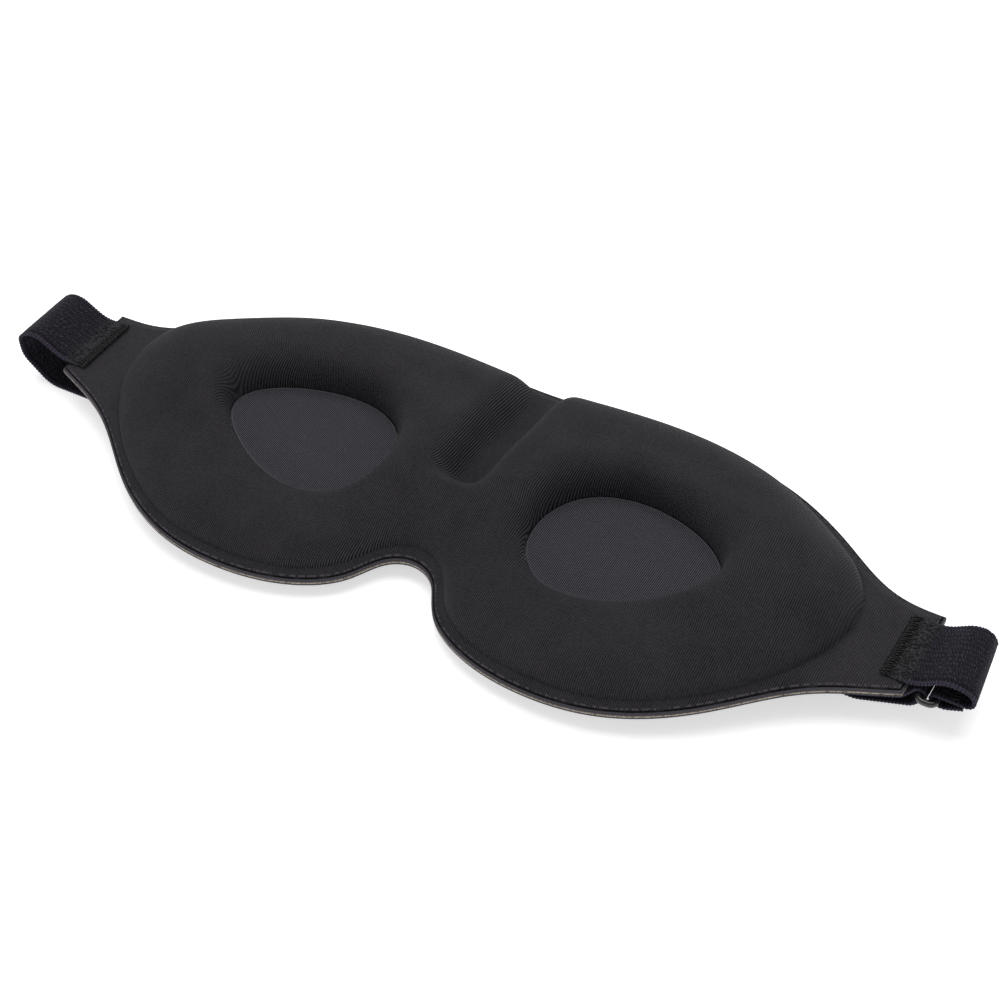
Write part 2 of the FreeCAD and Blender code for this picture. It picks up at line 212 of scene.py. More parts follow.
def inside_depth(loop, x, y):
    """Distance from each point to a closed loop, positive inside it."""
    best = np.full(x.shape, 1e9)
    inside = np.zeros(x.shape, bool)
    for (x0, y0), (x1, y1) in zip(loop, np.roll(loop, -1, 0)):
        dx, dy = x1 - x0, y1 - y0
        along = np.clip(((x - x0) * dx + (y - y0) * dy) / (dx * dx + dy * dy + 1e-12), 0, 1)
        best = np.minimum(best, (x - x0 - along * dx) ** 2 + (y - y0 - along * dy) ** 2)
        if y0 != y1:
            inside ^= ((y0 > y) != (y1 > y)) & (x < dx * (y - y0) / (y1 - y0) + x0)
    return np.where(inside, 1, -1) * np.sqrt(best)


# ---- heights, in mm
def smoothstep(low, high, value):
    t = np.clip((value - low) / (high - low), 0, 1)
    return t * t * (3 - 2 * t)


def underside(x, y):
    lift = ARCH / (1 + ((y - STRAP_Y) / ARCH_WIDTH) ** 4)
    lift = lift * (1 - smoothstep(ARCH_FULL, ARCH_NONE, np.abs(x)))
    return RIM_Z + WING_RISE * (x / TIP_X) ** 2 + lift


class Place:
    """Plan positions with what the heights need to know about them."""

    def __init__(self, xy):
        self.x, self.y = xy[:, 0], xy[:, 1]
        self.pad = inside_depth(PAD_LINE, self.x, self.y)
        self.eye = -inside_depth(EYE_LINE, np.abs(self.x), self.y)
        self.rim = np.clip(inside_depth(CUT_LINE, self.x, self.y), 0, None)
        self.under = underside(self.x, self.y)

    def shell_low(self):
        """The outer face: its edge is rolled up a little."""
        return self.under + EDGE_ROLL * np.exp(-(self.rim / ROLL_WIDTH) ** 2)

    def foam_low(self):
        return self.under + COVER + GLUE * 0.3

    def foam_top(self):
        foam = FOAM_RIM + (FOAM_MID - FOAM_RIM) * smoothstep(0, 10, self.pad)
        pinch = PINCH * (1 - smoothstep(0, PINCH_WIDTH, self.rim))
        return self.under + COVER + GLUE + foam - pinch

    def bulge(self):
        """The padded ring over the foam, with the hollow between the brows."""
        half = np.abs(self.x)
        rise = np.clip(1 - (1 - np.clip(self.pad / SHOULDER, 0, 1)) ** 2.2, 0, 1) ** 0.5
        near = 1 - np.clip(self.eye / WALL_WIDTH, 0, 1)
        wall = (1 - near ** 3) ** 0.55
        height = PAD_HEIGHT * (1 - 0.18 * smoothstep(60, 100, half)) * rise * wall
        height = height * (1 - CHEEK_LOW * (1 - smoothstep(-20, 2, self.y)))
        hollow = np.exp(-(half / HOLLOW_WIDTH) ** 3.2) * smoothstep(-7, 2, self.y)
        return height * (1 - HOLLOW_DEPTH * hollow)

    def rim_press(self):
        """The pressed band: a rounded edge, a narrow groove, then a low ridge."""
        groove = -GROOVE_DEPTH * np.exp(-((self.rim - GROOVE) / GROOVE_WIDTH) ** 2)
        ridge = RIDGE_HEIGHT * np.exp(-((self.rim - RIDGE) / RIDGE_WIDTH) ** 2)
        edge = -EDGE_DROP * np.exp(-(self.rim / EDGE_WIDTH) ** 2)
        return groove + ridge + edge

    def cover_low(self):
        return self.foam_top() + GLUE + self.bulge() + 0.5 * self.rim_press()

    def cover_top(self):
        return self.foam_top() + GLUE + COVER + self.bulge() + self.rim_press()


class Weave:
    """How the face knit's ribs lie: they keep part of their pitch as the cloth takes slopes."""

    STEP = 0.5
    FOLLOW = 0.40            # share of a slope's extra length that more ribs make up

    def __init__(self):
        self.x = np.arange(-TIP_X, TIP_X + self.STEP, self.STEP)
        self.y = np.arange(-47.0, 47.0, 1.0)
        x, y = np.meshgrid(self.x, self.y)
        height = Place(np.column_stack([x.ravel(), y.ravel()])).cover_top().reshape(x.shape)
        steep = np.clip(np.abs(np.gradient(height, self.STEP, axis=1)), 0, 2.5)
        pull = np.sqrt(1 + steep ** 2)
        follow = self.FOLLOW * (1 - smoothstep(FOLLOW_ALL, FOLLOW_NONE, np.abs(x)))
        run = np.cumsum(1 + follow * (pull - 1), axis=1) * self.STEP
        self.run = run - run[:, [len(self.x) // 2]]
        straight = x + np.sign(x) * np.mean(np.abs(self.run[:, -1]) - TIP_X)
        wing = smoothstep(RELAX_FROM, RELAX_TO, np.abs(x))
        self.run += (straight - self.run) * wing
        for _ in range(3):
            self.run[1:-1] = (self.run[:-2] + 2 * self.run[1:-1] + self.run[2:]) / 4
        self.pull = pull

    def at(self, table, x, y):
        """A table's value at each place, by straight lines between its entries."""
        i = np.clip((x - self.x[0]) / self.STEP, 0, len(self.x) - 1.001)
        j = np.clip(y - self.y[0], 0, len(self.y) - 1.001)
        i0, j0 = i.astype(int), j.astype(int)
        u, v = i - i0, j - j0
        low = table[j0, i0] * (1 - u) + table[j0, i0 + 1] * u
        high = table[j0 + 1, i0] * (1 - u) + table[j0 + 1, i0 + 1] * u
        return low * (1 - v) + high * v


WEAVE = Weave()


def along_edge(x, y):
    """Distance along the cut edge to the place on it nearest to each point."""
    t = lengths(CUT_LINE)
    nearest = np.empty(len(x))
    for k in range(0, len(x), 4000):
        dx = x[k:k + 4000, None] - CUT_LINE[:, 0]
        dy = y[k:k + 4000, None] - CUT_LINE[:, 1]
        nearest[k:k + 4000] = t[np.argmin(dx * dx + dy * dy, axis=1)]
    return nearest


def cloth_maps(obj):
    """Two maps for the knit: rib place and stretch, then distance in from and along the edge."""
    verts = np.empty(len(obj.data.vertices) * 3, np.float32)
    obj.data.vertices.foreach_get("co", verts)
    x, y = verts.reshape(-1, 3).T[:2].astype(float) / MM
    run, pull = WEAVE.at(WEAVE.run, x, y), WEAVE.at(WEAVE.pull, x, y)
    rim = np.clip(inside_depth(CUT_LINE, x, y), 0, None)
    add_map(obj.data, "weave", np.column_stack([run, pull]))
    add_map(obj.data, "rim", np.column_stack([rim, along_edge(x, y)]))


# ---- meshes
def linked(name, data):
    """A new object in the scene."""
    obj = bpy.data.objects.new(name, data)
    bpy.context.scene.collection.objects.link(obj)
    return obj


def add_map(mesh, name, pairs):
    """A named map with one pair for each vertex."""
    index = np.empty(len(mesh.loops), int)
    mesh.loops.foreach_get("vertex_index", index)
    layer = mesh.uv_layers.new(name=name)
    layer.data.foreach_set("uv", np.asarray(pairs, np.float32)[index].ravel())


def add_mesh(name, verts, faces, material, uv=None):
    """A smooth object from millimetre vertices; uv is one pair for each vertex."""
    mesh = bpy.data.meshes.new(name)
    mesh.from_pydata((np.asarray(verts) * MM).tolist(), [], [list(f) for f in faces])
    mesh.update()
    mesh.shade_smooth()
    if uv is not None:
        add_map(mesh, "UVMap", uv)
    mesh.materials.append(material)
    return linked(name, mesh)


def grid_faces(rows, columns, closed_rows=False):
    """Quads of a grid whose columns run round a loop; it faces the side rows turn left to."""
    r = np.arange(rows if closed_rows else rows - 1)
    r, c = (m.ravel() for m in np.meshgrid(r, np.arange(columns), indexing="ij"))
    r1, c1 = (r + 1) % rows, (c + 1) % columns
    return np.column_stack([r * columns + c, r1 * columns + c, r1 * columns + c1,
                            r * columns + c1])


def numbered_on(faces, verts):
    """The faces of a mesh's next part, numbered after the vertices of its earlier parts."""
    first = sum(map(len, verts))
    return [[i + first for i in face] for face in faces]


def weld(verts, faces):
    """Joins vertices in one place, and drops faces that this makes flat or double."""
    key = np.round(verts, 4) + 0.0
    _, first, index = np.unique(key, axis=0, return_index=True, return_inverse=True)
    out = []
    for face in index.ravel()[faces].tolist():
        ring = [v for k, v in enumerate(face) if v != face[k - 1]]
        if len(set(ring)) == len(ring) and len(ring) > 2:
            out.append(ring)
    return verts[first], out


def mirrored_body(profile):
    """Closed mesh from loops of (x, y, z) round the right eye, and their mirror images.

    Faces that lie wholly in the middle plane are inside the body, so they are left out.
    """
    verts = np.vstack(profile)
    faces = grid_faces(len(profile), len(profile[0]))
    faces = faces[(np.abs(verts[faces][:, :, 0]) >= 1e-4).any(axis=1)]
    both = np.vstack([verts, verts * [-1, 1, 1]])
    return weld(both, np.vstack([faces, faces[:, ::-1] + len(verts)]))


# the rows along the cut edge, as distances in from it
RIM_STEPS = [0, 0.08, 0.2, 0.33, 0.45, 0.54, 0.64, 0.75, 0.88, 1.02, 1.18, 1.45, 1.95, RIM_BAND]


class Rays:
    """Plan positions round the right eye, from its edge out to the cut edge."""

    def __init__(self, step):
        edge = half_edge(step)
        travel = np.gradient(edge, axis=0)
        self.normal = unit(np.column_stack([-travel[:, 1], travel[:, 0]]))
        self.normal[[0, -1]] = (0, 1), (0, -1)
        self.normal[np.abs(edge[:, 0] - TIP_X) < 1e-6] = -1, 0
        self.edge = edge
        high, low = edge[-1, 1] - RIM_BAND, edge[0, 1] + RIM_BAND
        middle_y = np.linspace(high, low, int((high - low) / step))[1:-1]
        self.middle = np.column_stack([np.zeros(len(middle_y)), middle_y])
        away = self.rim(RIM_BAND) - EYE
        self.reach = np.linalg.norm(away, axis=1)
        self.way = away / self.reach[:, None]
        self.turn = np.arctan2(away[:, 1], away[:, 0])
        self.to_eye = self.radius(EYE_LINE)
        right = PAD_LINE[PAD_LINE[:, 0] > -1e-6]
        self.to_pad = np.minimum(self.radius(right), self.reach)

    def radius(self, loop):
        """How far out each ray meets a loop round the eye."""
        away = loop - EYE
        turn = np.arctan2(away[:, 1], away[:, 0])
        order = np.argsort(turn)
        return np.interp(self.turn, turn[order], np.linalg.norm(away, axis=1)[order],
                         period=2 * np.pi)

    def rim(self, inset):
        """The row that lies this far inside the cut edge."""
        row = self.edge + self.normal * inset
        at_tip = row[:, 0] > TIP_X - inset - 1e-6
        row[at_tip, 0] = TIP_X - inset
        row[at_tip, 1] = np.clip(row[at_tip, 1], TIP_NEAR_Y + inset, TIP_FAR_Y - inset)
        return np.vstack([row, self.middle])

    def at(self, radius):
        return EYE + self.way * np.asarray(radius)[:, None]

    def between(self, inner, outer, shares):
        return [self.at(inner + (outer - inner) * s) for s in shares]


RAYS = Rays(step=0.7)


def raised(rows, height):
    """Plan rows with a height, which is one of Place's."""
    xy = np.vstack(rows)
    z = height(Place(xy))
    return np.split(np.column_stack([xy, z]), len(rows))


def rim_rows(steps):
    return [RAYS.rim(inset) for inset in steps]


def face_knit(material):
    """Knit over the pad: down both eye walls, over the crest, out to the cut edge."""
    ring = RAYS.to_pad - RAYS.to_eye
    share = np.clip(WALL_WIDTH / ring, 0.05, 0.8)
    walls = [RAYS.at(RAYS.to_eye + ring * share * s) for s in np.linspace(0, 1, 18) ** 1.7]
    outward = 1 - (1 - np.linspace(0, 1, 34)[1:]) ** 1.6
    crest = [RAYS.at(RAYS.to_eye + ring * (share + (1 - share) * s)) for s in outward]
    flange = RAYS.between(RAYS.to_pad, RAYS.reach, np.linspace(0, 1, 9)[1:-1])
    top = raised(walls + crest + flange + rim_rows(RIM_STEPS[::-1]), Place.cover_top)
    back_plan = RAYS.between(RAYS.to_eye, RAYS.reach, np.linspace(1, 0, 40))
    back = raised(rim_rows(RIM_STEPS) + back_plan[1:], Place.cover_low)
    verts, faces = mirrored_body(top + back + [top[0]])
    obj = add_mesh("face_knit", verts, faces, material)
    cloth_maps(obj)
    return obj


def disc_rows(steps, height):
    """Rows of one face of a layer from the eye's centre to the cut edge."""
    inner = RAYS.between(0 * RAYS.reach, RAYS.reach, np.linspace(0, 1, 22) ** 0.8)
    return raised(inner[:-1] + rim_rows(steps), height)


def shell_layer(name, low, high, material):
    """A layer with no openings between two heights."""
    top = disc_rows(RIM_STEPS[::-1], high)
    bottom = disc_rows(RIM_STEPS[::-1], low)[::-1]
    verts, faces = mirrored_body(top + bottom)
    obj = add_mesh(name, verts, faces, material)
    cloth_maps(obj)
    return obj


def outer_top(place):
    """The outer knit's inner face, kept just clear of the foam."""
    clear = 0.01
    return np.minimum(place.under + COVER, place.foam_low() - clear)


def pad_low(place):
    return place.foam_top() + GLUE * 2


def pad_top(place):
    thinnest = 0.05
    return pad_low(place) + np.maximum(place.bulge() - 2 * GLUE, thinnest)


def memory_pad(material):
    """The foam ring under the face knit, clear of both eye openings."""
    off_eye, off_edge = 1.1, 1.3
    inner = RAYS.to_eye + off_eye
    outer = np.where(RAYS.to_pad < RAYS.reach - 1e-6, RAYS.to_pad - off_edge, RAYS.reach)
    plan = RAYS.between(inner, outer, np.linspace(0, 1, 30))
    top = raised(plan, pad_top)
    verts, faces = mirrored_body(top + raised(plan, pad_low)[::-1] + [top[0]])
    return add_mesh("memory_foam", verts, faces, material)


def eye_floor(side, material):
    """Knit oval glued in the bottom of one eye opening, its edge turned up a little."""
    loop = eye_line(-GLUE) - EYE
    lip = np.array([0, 0.3, 0.55, 0.7, 0.8, 0.87, 0.92, 0.95, 0.97, 0.985, 0.995, 1.0])
    plan = [EYE + loop * s for s in lip]
    low = raised(plan, lambda p: p.foam_top() + GLUE)
    top = raised(plan, lambda p: p.foam_top() + GLUE + LINING)
    for s, row in zip(lip, top):
        turned_up = 0.45 * smoothstep(0.9, 0.985, s)
        rounded_off = 0.55 * smoothstep(0.99, 1.0, s)
        row[:, 2] += turned_up - rounded_off
    verts = np.vstack(top + low[::-1])
    faces = grid_faces(2 * len(lip), len(loop))
    verts, faces = weld(verts * [side, 1, 1], faces if side > 0 else faces[:, ::-1])
    depth = np.clip(inside_depth(EYE_LINE, np.abs(verts[:, 0]), verts[:, 1]), 0, None)
    name = "eye_floor_" + ("right" if side > 0 else "left")
    return add_mesh(name, verts, faces, material, uv=np.column_stack([depth, verts[:, 1]]))


# ---- elastic
def strap_line(corners, step=0.1):
    """Points along a path of corners (x, z, bend radius), seen from the side."""
    points = [np.array(corners[0][:2])]
    for k in range(1, len(corners) - 1):
        before, at, after = (np.array(corners[k + j][:2]) for j in (-1, 0, 1))
        inward = (before - at) / np.linalg.norm(before - at)
        outward = (after - at) / np.linalg.norm(after - at)
        turn = math.pi - math.acos(np.clip(inward @ outward, -1, 1))
        radius = corners[k][2]
        start = at + inward * radius * math.tan(turn / 2)
        half = (inward + outward) / np.linalg.norm(inward + outward)
        centre = at + half * radius / math.cos(turn / 2)
        arm = start - centre
        way = np.sign(inward[0] * outward[1] - inward[1] * outward[0])
        for angle in np.linspace(0, turn, max(3, int(turn * radius / step))):
            c, s = math.cos(angle * way), math.sin(angle * way)
            points.append(centre + (arm[0] * c + arm[1] * s, arm[1] * c - arm[0] * s))
    points.append(np.array(corners[-1][:2]))
    return np.array(points)


# across the elastic: place as a share of half its width, and half its thickness in mm
SECTION = [(-1.0, 0.06), (-0.993, 0.22), (-0.98, 0.36), (-0.955, 0.44), (-0.93, 0.36),
           (-0.915, 0.28), (-0.895, 0.37), (-0.7, 0.41), (-0.45, 0.42), (-0.2, 0.42),
           (0.0, 0.42)]
SECTION = SECTION + [(-place, half) for place, half in SECTION[-2::-1]]


LOOPED, TOOTHED = 0.9, 0.975     # places across from which the edge is looped, and uneven
LOOP_THINS = 0.25                # share of its thickness that the edge loses between loops
RIBBON_STEP, PROBE = 0.2, 0.15   # distances between rows, and to each side for the direction


def ribbon(line, start, end):
    """Vertices, faces and uv of the stretch of elastic from start to end along a line."""
    count = max(3, int(round((end - start) / RIBBON_STEP)) + 1)
    run = np.linspace(start, end, count)
    at = points_at(line, run)
    ahead = unit(points_at(line, run + PROBE) - points_at(line, run - PROBE))
    left = np.column_stack([-ahead[:, 1], ahead[:, 0]])
    tooth = 0.5 - 0.5 * np.cos(2 * np.pi * run / PICOT)
    rows, uv = [], []
    for side in (1, -1):
        for place, half in SECTION if side > 0 else SECTION[::-1]:
            across = place * (STRAP_W / 2)
            if abs(place) > TOOTHED:
                across = across - math.copysign(TOOTH, place) * tooth
            thin = LOOP_THINS if abs(place) > LOOPED else 0.0
            xz = at + left * (side * half * (1 - thin * tooth))[:, None]
            from_near = (place + 1) * (STRAP_W / 2)
            xz[:, 0] -= ASKEW * from_near * smoothstep(ASKEW_FROM, ASKEW_TO, xz[:, 0])
            rows.append(np.column_stack([xz[:, 0], STRAP_Y + across * np.ones(count), xz[:, 1]]))
            uv.append(np.column_stack([run, np.full(count, place * STRAP_W / 2)]))
    verts = np.stack(rows, 1).reshape(-1, 3)
    uv = np.stack(uv, 1).reshape(-1, 2)
    columns = len(rows)
    faces = grid_faces(count, columns).tolist()
    half = columns // 2
    last = (count - 1) * columns
    for k in range(half - 1):
        faces.append([k, k + 1, columns - 2 - k, columns - 1 - k])
        faces.append([last + columns - 1 - k, last + columns - 2 - k, last + k + 1, last + k])
    return verts, faces, uv


def strap_piece(name, line, stretches, material):
    """One object from several stretches of the same elastic."""
    verts, faces, uv = [], [], []
    for start, end in stretches:
        v, f, w = ribbon(line, start, end)
        faces += numbered_on(f, verts)
        verts.append(v)
        uv.append(w)
    return add_mesh(name, np.vstack(verts), faces, material, uv=np.vstack(uv))


SEAM_X = TIP_X - SEWN
WING_TOP = RIM_Z + WING_RISE + 2 * COVER + 2 * GLUE + FOAM_RIM
SEAM_Z = WING_TOP + GLUE + STRAP_T / 2
SEAM_START_Z = SEAM_Z - 2 * WING_RISE / TIP_X * SEWN + 0.1
WRAP = WIRE / 2 + PLAY + STRAP_T / 2
OUTER_BAR_X = RING_X + RING_PITCH / 2
INNER_BAR_X = RING_X - RING_PITCH / 2
FLOOR_Z = STRAP_T / 2
BAR_Z = 2 * LAYER + BAR_T / 2
SIDE_X = LOOP_X - STRAP_T / 2


def tab_corners():
    """Short elastic: right wing, loop, round the ring's outer bar, back on itself."""
    over = RING_Z + WRAP
    turn_x = OUTER_BAR_X - WRAP - FOLD_PLAY
    return [(SEAM_X, SEAM_START_Z, 0), (117.5, SEAM_Z + 0.2, 12), (125.8, 16.5, 9),
            (SIDE_X - 0.9, 14.0, 2.8), (SIDE_X - 1.1, over, 1.9),
            (turn_x, over, WRAP), (turn_x, RING_Z - WRAP, WRAP),
            (124.3, RING_Z - WRAP, 3), (128.2, over - LAYER - 0.1, 0)]


def band_corners():
    """Long elastic: left wing, loop, slider, ring, back round the slider's middle bar."""
    down_x, down_z = math.cos(DROP), math.sin(DROP)
    turn_x, turn_z = INNER_BAR_X + WRAP * down_x, RING_Z + WRAP * down_z
    upper = (turn_x - WRAP * down_z, turn_z + WRAP * down_x)
    lower = (turn_x + WRAP * down_z, turn_z - WRAP * down_x)
    run_z = FLOOR_Z + LAYER
    upper_x = upper[0] - (upper[1] - KNEE_Z - KNEE_GAP) * down_x / down_z
    lower_x = lower[0] - (lower[1] - KNEE_Z) * down_x / down_z
    wrap_left = SLIDER_X - BAR_W / 2 - PLAY - STRAP_T / 2
    wrap_right = SLIDER_X + BAR_W / 2 + PLAY + STRAP_T / 2
    wrap_top = BAR_Z + BAR_T / 2 + PLAY + STRAP_T / 2
    return [(-SEAM_X, SEAM_START_Z, 0), (-118.0, SEAM_Z + 0.3, 12), (-126.4, 17.0, 6),
            (-SIDE_X, 13.6, 3), (-SIDE_X, 7.6, 5), (-124.2, FLOOR_Z, 7),
            (wrap_left - LAYER, FLOOR_Z, 0.8), (wrap_left - LAYER, wrap_top + LAYER, 0.8),
            (wrap_right + LAYER, wrap_top + LAYER, 0.8), (wrap_right + LAYER, run_z, 0.8),
            (FOOT_X - 0.5, run_z, 5), (upper_x, KNEE_Z + KNEE_GAP, 5), (*upper, WRAP),
            (*lower, WRAP), (lower_x, KNEE_Z, 4), (FOOT_X, FLOOR_Z, 6),
            (wrap_right + 0.2, FLOOR_Z, 1), (SLIDER_X, run_z, 1),
            (wrap_left, run_z, 0.7), (wrap_left, wrap_top, 0.7),
            (wrap_right, wrap_top, 0.7), (wrap_right, 2.3, 0)]


def sewn_down(line):
    """The elastic dips with the wing's pressed tip, where it is sewn to it."""
    half = np.abs(line[:, 0])
    dip = SEWN_DIP * smoothstep(SEAM_X, TIP_X - 1, half)
    dip = dip * (1 - smoothstep(TIP_X + 1, TIP_X + 9, half))
    first = np.arange(len(line)) < np.argmax(half > SIDE_X - 3)
    out = line.copy()
    out[:, 1] -= np.where(first, dip, 0)
    return out


# ---- hardware
def tube(points, radius, sides, closed=False):
    """Vertices and faces of a round tube along points."""
    p = np.array(points, float)
    if closed:
        ahead = np.roll(p, -1, 0) - np.roll(p, 1, 0)
    else:
        ahead = np.gradient(p, axis=0)
    ahead = unit(ahead)
    side = np.cross(ahead, (0, 0, 1))
    weak = np.linalg.norm(side, axis=1) < 1e-6
    side[weak] = (1, 0, 0)
    side = unit(side)
    over = np.cross(side, ahead)
    turn = np.linspace(0, 2 * np.pi, sides, endpoint=False)
    ring = side[:, None] * np.cos(turn)[:, None] + over[:, None] * np.sin(turn)[:, None]
    verts = (p[:, None] + radius * ring).reshape(-1, 3)
    faces = grid_faces(len(p), sides, closed_rows=closed).tolist()
    if not closed:
        faces.append(list(range(sides)))
        faces.append([len(verts) - 1 - k for k in range(sides)])
    return verts, faces


def rounded_box(half_x, half_y, bend, steps=8):
    """Counter-clockwise outline of a rectangle with round corners."""
    out = []
    for k, (sx, sy) in enumerate(((1, 1), (-1, 1), (-1, -1), (1, -1))):
        for angle in np.linspace(k * math.pi / 2, (k + 1) * math.pi / 2, steps + 1):
            out.append((sx * (half_x - bend) + bend * math.cos(angle),
                        sy * (half_y - bend) + bend * math.sin(angle)))
    return out


def ring_wire(material):
    """Ring of coated wire, an oblong with round corners."""
    outline = rounded_box(RING_PITCH / 2, (HARD_SPAN + WIRE) / 2, RING_BEND, 12)
    loop = spaced(np.array(outline + outline[:1]), 0.35)[:-1]
    points = [(RING_X + x, STRAP_Y + y, RING_Z) for x, y in loop]
    verts, faces = tube(points, WIRE / 2, 20, closed=True)
    return add_mesh("ring_wire", verts, faces, material)


def slider_plate(material):
    """Moulded three-bar slider with rounded edges."""
    curve = bpy.data.curves.new("slider_outline", "CURVE")
    curve.dimensions = "2D"
    curve.fill_mode = "BOTH"
    bevel, plate_bend, slot_bend = 0.3, 1.7, 0.6
    curve.extrude = (BAR_T / 2 - bevel) * MM
    curve.bevel_depth = bevel * MM
    curve.bevel_resolution = 4
    outer = rounded_box(SLIDER_PITCH + BAR_W / 2 - bevel, HARD_SPAN / 2 + BAR_W - bevel,
                        plate_bend)
    slot = rounded_box((SLIDER_PITCH - BAR_W) / 2 + bevel, HARD_SPAN / 2 + bevel, slot_bend)
    holes = [[(x + side * SLIDER_PITCH / 2, y) for x, y in slot[::-1]] for side in (-1, 1)]
    for outline in [outer] + holes:
        part = curve.splines.new("POLY")
        part.points.add(len(outline) - 1)
        part.use_cyclic_u = True
        for point, (x, y) in zip(part.points, outline):
            point.co = (x * MM, y * MM, 0, 1)
    shape = bpy.data.objects.new("slider_outline", curve)
    mesh = bpy.data.meshes.new_from_object(shape)
    bpy.data.objects.remove(shape)
    bpy.data.curves.remove(curve)
    mesh.transform(Matrix.Translation(Vector((SLIDER_X, STRAP_Y, BAR_Z)) * MM))
    mesh.materials.clear()
    mesh.materials.append(material)
    return linked("slider_plate", mesh)


# ---- sewing
def threads(name, paths, radius, material):
    """One object of several threads."""
    verts, faces = [], []
    for path in paths:
        v, f = tube(path, radius, 8)
        faces += numbered_on(f, verts)
        verts.append(v)
    return add_mesh(name, np.vstack(verts), faces, material)


def arched(start, end, lift, count=9):
    """A short stitch that rises over the cloth between its two needle holes."""
    share = np.linspace(0, 1, count)[:, None]
    line = np.array(start) + (np.array(end) - np.array(start)) * share
    line[:, 2] += lift * np.sin(np.pi * share[:, 0]) ** 0.6
    return line


def wing_thread(side, line, material):
    """Dense slanting stitches over the elastic's cut end, and loose fibres beyond them."""
    random = np.random.default_rng(7 if side > 0 else 8)
    half = STRAP_W / 2 - 0.6
    pitch, fibres = 0.72, 70

    def on_elastic(along, y):
        x, z = points_at(line, max(along, 0.0))[0]
        return np.array([x, y, z + THREAD_TOP])

    paths = []
    for y in np.arange(-half, half, pitch):
        jitter = random.uniform(-0.2, 0.2, 3)
        start = on_elastic(0, STRAP_Y + y)
        start[0] -= side * (0.45 + jitter[0])
        start[2] -= 0.62
        end = on_elastic(1.7 + 2 * jitter[1], STRAP_Y + y + 0.6 + jitter[2])
        paths.append(arched(start, end, 0.45))
    for _ in range(fibres):
        along, y, turn = random.uniform((1.8, -half, -0.9), (6.2, half - 0.6, 0.9))
        reach = 0.9 * np.array([math.cos(turn), math.sin(turn)])
        paths.append(arched(on_elastic(along, STRAP_Y + y),
                            on_elastic(along + reach[0], STRAP_Y + y + reach[1]), 0.1, 5))
    name = "wing_thread_" + ("right" if side > 0 else "left")
    return threads(name, paths, 0.15, material)


END_ROW = STRAP_W / 2 - 0.9      # half the length of both end rows


def tab_end_thread(material):
    """Row that closes the tab round the ring's outer bar."""
    top = RING_Z + WRAP + STRAP_T / 2 - 0.02
    paths = [arched((125.6, STRAP_Y + y, top), (127.1, STRAP_Y + y + 0.4, top), 0.18)
             for y in np.linspace(-END_ROW, END_ROW - 0.4, 20)]
    return threads("tab_end_thread", paths, 0.16, material)


def band_end_thread(material):
    """Upright threads that tie the band's end round the slider's middle bar."""
    x = SLIDER_X + BAR_W / 2 + PLAY + STRAP_T / 2
    paths = [[(x + 0.03 * k, STRAP_Y + y, 1.35 + 0.8 * k / 4) for k in range(5)]
             for y in np.linspace(-END_ROW, END_ROW, 15)]
    return threads("band_end_thread", paths, 0.16, material)


